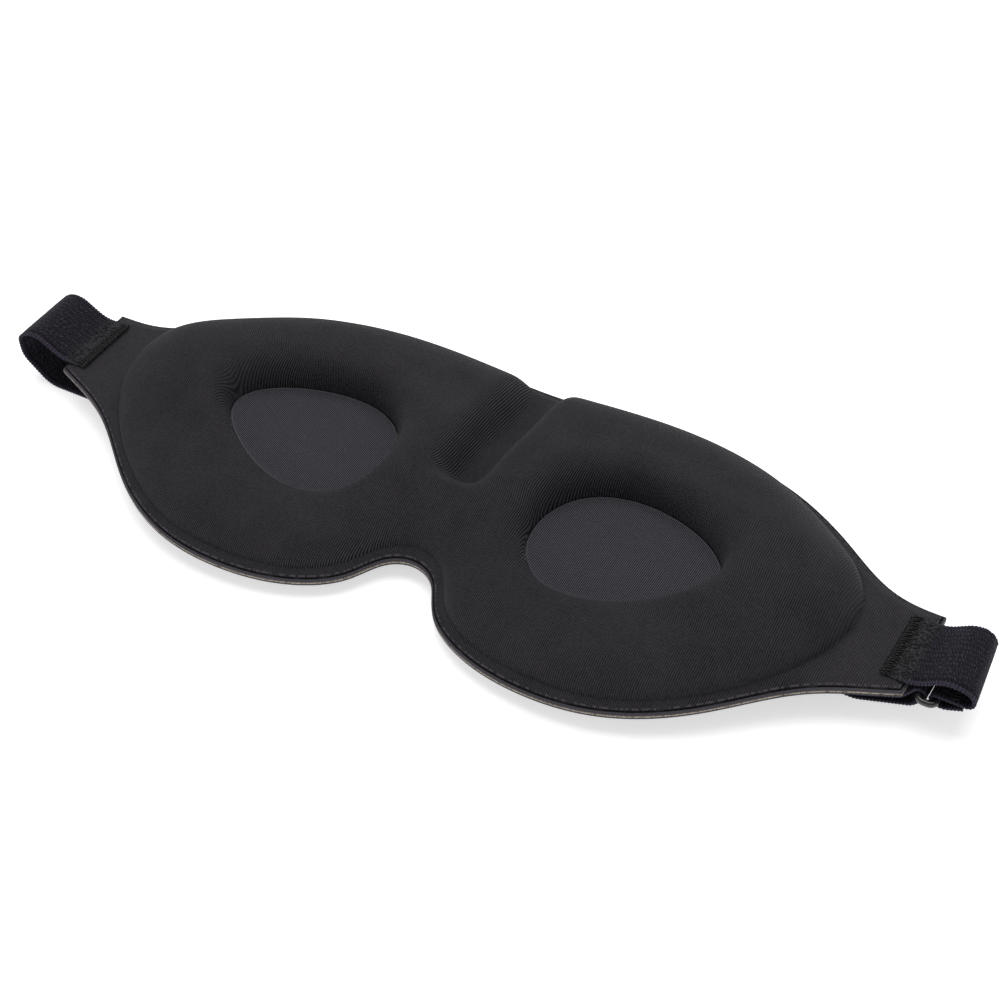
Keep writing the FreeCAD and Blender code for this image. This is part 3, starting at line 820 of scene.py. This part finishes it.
# ---- materials
class Nodes:
    """Short calls for building one material."""

    def __init__(self, name):
        self.material = bpy.data.materials.new(name)
        self.material.use_nodes = True
        self.tree = self.material.node_tree
        self.shader = self.tree.nodes["Principled BSDF"]

    def new(self, kind, **values):
        node = self.tree.nodes.new(kind)
        for key, value in values.items():
            setattr(node, key, value)
        return node

    def link(self, source, target):
        self.tree.links.new(source, target)

    def put(self, socket, value):
        """A number goes on the socket, anything else is linked to it."""
        if isinstance(value, (int, float, tuple)):
            socket.default_value = value
        else:
            self.link(value, socket)

    def fill(self, node, keys, values):
        for key, value in zip(keys, values):
            self.put(node.inputs[key], value)
        return node

    def math(self, operation, a, b=0.0, c=0.0):
        node = self.new("ShaderNodeMath", operation=operation)
        return self.fill(node, (0, 1, 2), (a, b, c)).outputs[0]

    def add(self, a, b):
        return self.math("ADD", a, b)

    def times(self, a, b):
        return self.math("MULTIPLY", a, b)

    def scaled(self, a, b, plus):
        return self.math("MULTIPLY_ADD", a, b, plus)

    def mix(self, share, a, b):
        node = self.new("ShaderNodeMix", data_type="RGBA")
        return self.fill(node, ("Factor", 6, 7), (share, a, b)).outputs[2]

    def range(self, value, low, high, to_low=0.0, to_high=1.0):
        keys = "Value", "From Min", "From Max", "To Min", "To Max"
        node = self.new("ShaderNodeMapRange")
        return self.fill(node, keys, (value, low, high, to_low, to_high)).outputs[0]

    def noise(self, vector, scale, detail=2.0, roughness=0.5):
        keys = "Vector", "Scale", "Detail", "Roughness"
        node = self.new("ShaderNodeTexNoise")
        return self.fill(node, keys, (vector, scale, detail, roughness)).outputs["Fac"]

    def place(self):
        """Position in millimetres."""
        metres = self.new("ShaderNodeTexCoord").outputs["Object"]
        node = self.new("ShaderNodeVectorMath", operation="SCALE")
        return self.fill(node, (0, "Scale"), (metres, 1 / MM)).outputs[0]

    def parts(self, vector):
        """A vector's first two parts."""
        outputs = self.fill(self.new("ShaderNodeSeparateXYZ"), [0], [vector]).outputs
        return outputs[0], outputs[1]

    def map(self, name):
        """The two parts of a named map of the mesh."""
        return self.parts(self.new("ShaderNodeUVMap", uv_map=name).outputs[0])

    def wave(self, value, pitch):
        """0 to 1 sine of a place with this pitch."""
        turn = self.math("MULTIPLY", value, 2 * math.pi / pitch)
        return self.math("MULTIPLY_ADD", self.math("SINE", turn), 0.5, 0.5)

    def bump(self, height, depth):
        """Height from 0 to 1 over this depth in mm."""
        node = self.new("ShaderNodeBump")
        self.fill(node, ("Distance", "Strength", "Height"), (depth * MM, 1.0, height))
        self.link(node.outputs[0], self.shader.inputs["Normal"])

    def finish(self, colour, roughness, specular=0.5, sheen=0.0, sheen_rough=0.5,
               tint=(1.0, 1.0, 1.0, 1.0), coat=0.0):
        keys = ("Base Color", "Roughness", "Specular IOR Level", "Sheen Weight",
                "Sheen Roughness", "Sheen Tint", "Coat Weight")
        values = colour, roughness, specular, sheen, sheen_rough, tint, coat
        self.fill(self.shader, keys, values)
        return self.material


KNIT_RIB, LINING_RIB = 0.51, 0.47    # pitch of the ribs
KNIT_COURSE = 0.42                   # pitch of the loops along a rib


def knit_tone(n, place, across, y, rib, open_share):
    """Ribs made of small loops, the knit's roughness and its fuzz.

    The ribs stand out by open_share, which is more where the cloth is stretched.
    """
    ribs = n.wave(across, rib)
    lean = n.times(across, math.pi / rib)
    loops = n.wave(n.add(y, n.times(n.math("SINE", lean), 0.08)), KNIT_COURSE)
    fuzz = n.noise(place, 3.4, 3.0, 0.7)
    grain = n.noise(place, 1.5, 2.0, 0.6)
    chain = n.times(n.times(ribs, n.scaled(loops, 0.4, 0.6)), open_share)
    rough = n.scaled(fuzz, 0.75, n.times(grain, 0.35))
    return chain, rough, fuzz


def dull(n, colour, fuzz):
    """The finish that both knits have."""
    return n.finish(colour, n.range(fuzz, 0.3, 0.7, 0.84, 0.96), 0.15, sheen=0.04,
                    sheen_rough=0.45, tint=(0.86, 0.86, 1.0, 1.0))


def knit(name, dark, light):
    """Fine rib knit on the face: ribs across its width, and along the cut edge a painted highlight
    on the rounded edge and pressed ridge, with painted shade in the pressed groove.
    """
    n = Nodes(name)
    place = n.place()
    x, y = n.parts(place)
    run, pull = n.map("weave")
    inset, along = n.map("rim")
    wander = n.times(n.noise(place, 0.07, 1.0), 1.1)
    stretched = n.range(pull, 1.02, 1.5, 0.55, 1.0)
    outer = n.range(n.math("ABSOLUTE", x), 58, 70, 0.0, 0.62)
    calm = n.times(outer, n.range(pull, 1.02, 1.25))
    stretched = n.times(stretched, n.math("SUBTRACT", 1.0, calm))
    chain, rough, fuzz = knit_tone(n, place, n.add(run, wander), y, KNIT_RIB, stretched)
    height = n.add(n.times(chain, 0.75), n.times(rough, 0.5))
    n.bump(height, 0.17)
    patches = n.noise(place, 0.12, 2.0, 0.5)
    tone = n.add(n.times(chain, 0.8), n.times(rough, 0.72))
    tone = n.add(tone, n.scaled(stretched, -0.24, 0.17))
    tone = n.add(tone, n.scaled(patches, 0.14, -0.07))
    tone = n.add(tone, n.range(n.math("ABSOLUTE", x), 94, 101, 0.0, 0.09))
    # painted highlight on the rounded cut edge, painted shade in the pressed groove broken up by
    # noise, and painted highlight in uneven dashes along the pressed ridge
    edge = n.range(inset, 0.30, 0.42, 0.44, 0.0)
    groove = n.times(n.range(inset, 0.40, 0.54), n.range(inset, 0.66, 0.82, 1.0, 0.0))
    ridge = n.times(n.range(inset, 0.80, 0.95), n.range(inset, 1.08, 1.25, 1.0, 0.0))
    uneven = n.scaled(n.noise(place, 0.5, 2.0), 5.5, along)
    dashes = n.range(n.wave(uneven, 2.3), 0.25, 0.75)
    groove_shade_breaks = n.range(n.noise(place, 0.35, 2.0), 0.38, 0.55, 0.25, 1.0)
    tone = n.scaled(n.times(ridge, dashes), 0.75, n.add(tone, edge))
    tone = n.scaled(n.times(groove, groove_shade_breaks), -0.6, tone)
    return dull(n, n.mix(n.range(tone, 0.36, 1.12), dark, light), fuzz)


def lining(name, dark, light):
    """The eye floors' crisper rib knit, its cut edge turned up, with a painted highlight along that
    edge.
    """
    n = Nodes(name)
    place = n.place()
    x, y = n.parts(place)
    inset = n.map("UVMap")[0]
    chain, rough, fuzz = knit_tone(n, place, x, y, LINING_RIB, 1.0)
    height = n.add(n.times(chain, 0.8), n.times(rough, 0.4))
    n.bump(height, 0.15)
    tone = n.add(n.times(chain, 0.9), n.times(rough, 0.5))
    # painted highlight along the turned-up cut edge, lighter towards the edge
    lip = n.range(inset, 0.35, 0.7, 0.9, 0.0)
    return dull(n, n.mix(n.range(n.add(tone, lip), 0.26, 1.06), dark, light), fuzz)


def cut_foam():
    """Pressed foam: fine open cells, darker where the knife dragged lint from the covers."""
    n = Nodes("pressed_foam")
    place = n.place()
    cells = n.noise(place, 2.6, 3.0, 0.7)
    lint = n.noise(place, 0.9, 4.0, 0.75)
    colour = n.mix(n.range(cells, 0.35, 0.65), (0.16, 0.135, 0.11, 1), (0.50, 0.44, 0.36, 1))
    colour = n.mix(n.range(lint, 0.52, 0.66), colour, (0.035, 0.033, 0.034, 1))
    n.bump(cells, 0.2)
    return n.finish(colour, 0.95, 0.2)


def pad_foam():
    n = Nodes("memory_foam")
    place = n.place()
    cells = n.noise(place, 1.8, 3.0, 0.6)
    colour = n.mix(n.range(cells, 0.3, 0.7), (0.42, 0.40, 0.36, 1), (0.62, 0.60, 0.55, 1))
    n.bump(cells, 0.25)
    return n.finish(colour, 0.9, 0.3)


def elastic():
    """Knitted elastic: slanting broken dashes, a looped edge band, a rough sewn end."""
    n = Nodes("strap_elastic")
    place = n.new("ShaderNodeTexCoord").outputs["UV"]
    along, across = n.parts(place)
    uneven = n.noise(place, 0.7, 3.0, 0.6)
    slant = n.scaled(across, 0.62, along)
    slant = n.scaled(uneven, 1.7, slant)
    dash = n.wave(slant, DASH_PITCH)
    column = n.wave(n.scaled(uneven, 1.4, across), COLUMN_PITCH)
    broken = n.range(n.noise(place, 1.5, 2.0, 0.6), 0.38, 0.62, 0.15, 1.0)
    weave = n.times(n.times(dash, broken), n.scaled(column, 0.6, 0.4))
    fuzz = n.noise(place, 2.2, 3.0, 0.7)
    side, half = n.math("ABSOLUTE", across), STRAP_W / 2
    ladder = n.times(n.range(side, half - 1.7, half - 1.5),
                     n.range(side, half - 1.15, half - 0.95, 1.0, 0.0))
    cord = n.range(side, half - 1.1, half - 0.9)
    loops = n.wave(along, PICOT)
    relief = n.scaled(cord, n.scaled(loops, 0.35, 0.2), weave)
    rungs = n.times(ladder, n.range(loops, 0.3, 0.7, 0.8, 0.0))
    relief = n.math("SUBTRACT", relief, rungs)
    height = n.add(n.times(relief, 0.75), n.times(fuzz, 0.5))
    n.bump(height, 0.24)
    colour = n.mix(n.range(height, 0.26, 0.95), (0.0010, 0.0007, 0.0020, 1),
                   (0.047, 0.040, 0.064, 1))
    sewn = n.range(along, SEWN - 0.8, SEWN + 1.4, 0.85, 0.0)
    lint = n.noise(place, 1.7, 3.0, 0.75)
    grey = n.mix(n.range(lint, 0.38, 0.66), (0.0015, 0.0015, 0.0018, 1),
                 (0.060, 0.060, 0.064, 1))
    colour = n.mix(sewn, colour, grey)
    ticks = n.wave(n.scaled(along, 0.5, across), 0.95)
    ticks = n.range(ticks, 0.35, 0.6, 1.0, 0.15)
    overlock = n.times(ticks, n.range(along, 1.9, 2.7, 0.95, 0.0))
    colour = n.mix(overlock, colour, (0.0012, 0.0012, 0.0014, 1))
    return n.finish(colour, n.range(fuzz, 0.3, 0.7, 0.72, 0.92), 0.2, sheen=0.04,
                    sheen_rough=0.4, tint=(0.75, 0.75, 1.0, 1.0))


def thread():
    n = Nodes("sewing_thread")
    place = n.place()
    ply = n.noise(place, 3.5, 2.0)
    colour = n.mix(n.range(ply, 0.35, 0.65), (0.002, 0.002, 0.0025, 1), (0.016, 0.016, 0.018, 1))
    n.bump(ply, 0.06)
    return n.finish(colour, 0.7, 0.35)


def gloss_black(name, grain):
    """Coated metal or moulded plastic with faint orange peel and rubbed patches."""
    n = Nodes(name)
    place = n.place()
    peel = n.noise(place, grain, 2.0)
    rub = n.noise(place, 0.6, 3.0, 0.7)
    colour = n.mix(n.range(rub, 0.55, 0.75), (0.009, 0.009, 0.010, 1), (0.022, 0.022, 0.024, 1))
    n.bump(peel, 0.012)
    return n.finish(colour, n.range(rub, 0.4, 0.8, 0.16, 0.34), 0.5, coat=0.3)


def pale_floor():
    n = Nodes("floor_white")
    place = n.place()
    grain = n.noise(place, 0.02, 2.0)
    colour = n.mix(grain, (0.90, 0.895, 0.905, 1), (0.92, 0.915, 0.925, 1))
    n.shader.inputs["Emission Color"].default_value = (1.0, 0.995, 1.0, 1.0)
    n.shader.inputs["Emission Strength"].default_value = 0.58
    return n.finish(colour, 0.9, 0.1)


# ---- stage
CAMERA_TARGET = Vector((5.05, 7.3, 2.2))
CAMERA_TURN, CAMERA_RISE, CAMERA_ROLL = 34.32, 43.75, -4.63     # degrees
CAMERA_AWAY = 483.0
LENS, SENSOR = 72.0, 36.0
FLOOR_HALF = 3.0                                                # metres
SKY_FADE = (0.12, 0.5, 1.0, 0.32)    # heights between which the sky dims, and by how much


def make_camera():
    turn, rise, roll = (math.radians(a) for a in (CAMERA_TURN, CAMERA_RISE, CAMERA_ROLL))
    back = Vector((math.sin(turn) * math.cos(rise), -math.cos(turn) * math.cos(rise),
                   math.sin(rise)))
    right = Vector((math.cos(turn), math.sin(turn), 0))
    up = back.cross(right)
    rolled_right = right * math.cos(roll) + up * math.sin(roll)
    rolled_up = up * math.cos(roll) - right * math.sin(roll)
    matrix = Matrix((rolled_right, rolled_up, back)).transposed().to_4x4()
    matrix.translation = (CAMERA_TARGET + back * CAMERA_AWAY) * MM
    data = bpy.data.cameras.new("camera")
    data.lens, data.sensor_width = LENS, SENSOR
    data.clip_start, data.clip_end = 0.01, 20
    camera = linked("camera", data)
    camera.matrix_world = matrix
    bpy.context.scene.camera = camera


def soft_light(name, at, size, power):
    """A square light that faces the frame's middle."""
    data = bpy.data.lights.new(name, "AREA")
    data.shape, data.size, data.energy = "SQUARE", size, power
    light = linked(name, data)
    light.location = at
    light.rotation_euler = (-Vector(at)).to_track_quat("-Z", "Y").to_euler()


def make_stage():
    world = bpy.data.worlds.new("studio")
    world.use_nodes = True
    tree = world.node_tree
    background = tree.nodes["Background"]
    background.inputs["Color"].default_value = (1, 1, 1, 1)
    way = tree.nodes.new("ShaderNodeTexCoord")
    parts = tree.nodes.new("ShaderNodeSeparateXYZ")
    fade = tree.nodes.new("ShaderNodeMapRange")
    for key, number in zip(("From Min", "From Max", "To Min", "To Max"), SKY_FADE):
        fade.inputs[key].default_value = number
    tree.links.new(way.outputs["Generated"], parts.inputs[0])
    tree.links.new(parts.outputs[2], fade.inputs["Value"])
    tree.links.new(fade.outputs[0], background.inputs["Strength"])
    bpy.context.scene.world = world
    bpy.context.scene.view_settings.view_transform = "Standard"
    soft_light("overhead", (-0.05, 0.25, 0.90), 0.9, 7.0)
    mesh = bpy.data.meshes.new("floor")
    corners = [(x * FLOOR_HALF, y * FLOOR_HALF, 0) for x, y in ((-1, -1), (1, -1), (1, 1), (-1, 1))]
    mesh.from_pydata(corners, [], [(0, 1, 2, 3)])
    mesh.materials.append(pale_floor())
    floor = linked("floor", mesh)


def stands_for(piece, node, body):
    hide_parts(node)
    if body:
        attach(piece, body)


def make_mask():
    cover = knit("face_cover_knit", (0.0012, 0.0011, 0.0015, 1), (0.066, 0.0615, 0.0705, 1))
    floor_knit = lining("lining_knit", (0.0022, 0.0020, 0.003, 1), (0.096, 0.091, 0.108, 1))
    face = face_knit(cover)
    outer = shell_layer("outer_knit", Place.shell_low, outer_top, cover)
    foam = shell_layer("shell_foam_sheet", Place.foam_low, Place.foam_top, cut_foam())
    pad = memory_pad(pad_foam())
    floors = [eye_floor(side, floor_knit) for side in (-1, 1)]
    stands_for(face, "face_cover", "mask")
    stands_for(outer, "outer_cover", "mask")
    stands_for(foam, "shell_foam", "mask")
    stands_for(pad, "memory_foam_pad", "mask")
    for piece, side in zip(floors, ("left", "right")):
        node = "eye_lining_" + side
        stands_for(piece, node, "mask")


# ---- the strap
SPLIT_LEFT, SPLIT_RIGHT = 103.0, 109.0    # the strap's runs are divided between slider and ring


def crossing(line, x, last=False):
    """Distance along a line to its first or last crossing of this x."""
    t = lengths(line)
    over = np.nonzero(np.diff(np.sign(line[:, 0] - x)) != 0)[0]
    k = over[-1] if last else over[0]
    share = (x - line[k, 0]) / (line[k + 1, 0] - line[k, 0])
    return t[k] + share * (t[k + 1] - t[k])


def make_strap():
    cloth = elastic()
    band = sewn_down(strap_line(band_corners()))
    tab = sewn_down(strap_line(tab_corners()))
    end = lengths(band)[-1]
    out_left, out_right = crossing(band, SPLIT_LEFT), crossing(band, SPLIT_RIGHT)
    in_right, in_left = (crossing(band, x, last=True) for x in (SPLIT_RIGHT, SPLIT_LEFT))
    main = strap_piece("strap_main", band, [(0, out_left), (in_left, end)], cloth)
    runs = strap_piece("strap_runs", band, [(out_left, out_right), (in_right, in_left)], cloth)
    turn = strap_piece("strap_turn", band, [(out_right, in_right)], cloth)
    short = strap_piece("strap_short", tab, [(0, lengths(tab)[-1])], cloth)
    for piece in (main, runs, turn):
        stands_for(piece, "strap_band", None)
    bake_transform(main)
    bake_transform(runs)
    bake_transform(turn)
    stands_for(short, "strap_tab", "mask")
    return band, tab


def make_hardware():
    ring = ring_wire(gloss_black("coated_wire", 1.2))
    stands_for(ring, "strap_ring", "ring")
    slider = slider_plate(gloss_black("moulded_black", 0.8))
    stands_for(slider, "strap_slider", "slider")


def make_sewing(band, tab):
    black = thread()
    pieces = [(wing_thread(-1, band, black), "wing_stitches_left", "mask"),
              (wing_thread(1, tab, black), "wing_stitches_right", "mask"),
              (tab_end_thread(black), "tab_end_stitches", "mask"),
              (band_end_thread(black), "band_end_stitches", "slider")]
    for piece, node, body in pieces:
        stands_for(piece, node, body)


make_camera()
make_stage()
make_mask()
band_line, tab_line = make_strap()
make_hardware()
make_sewing(band_line, tab_line)
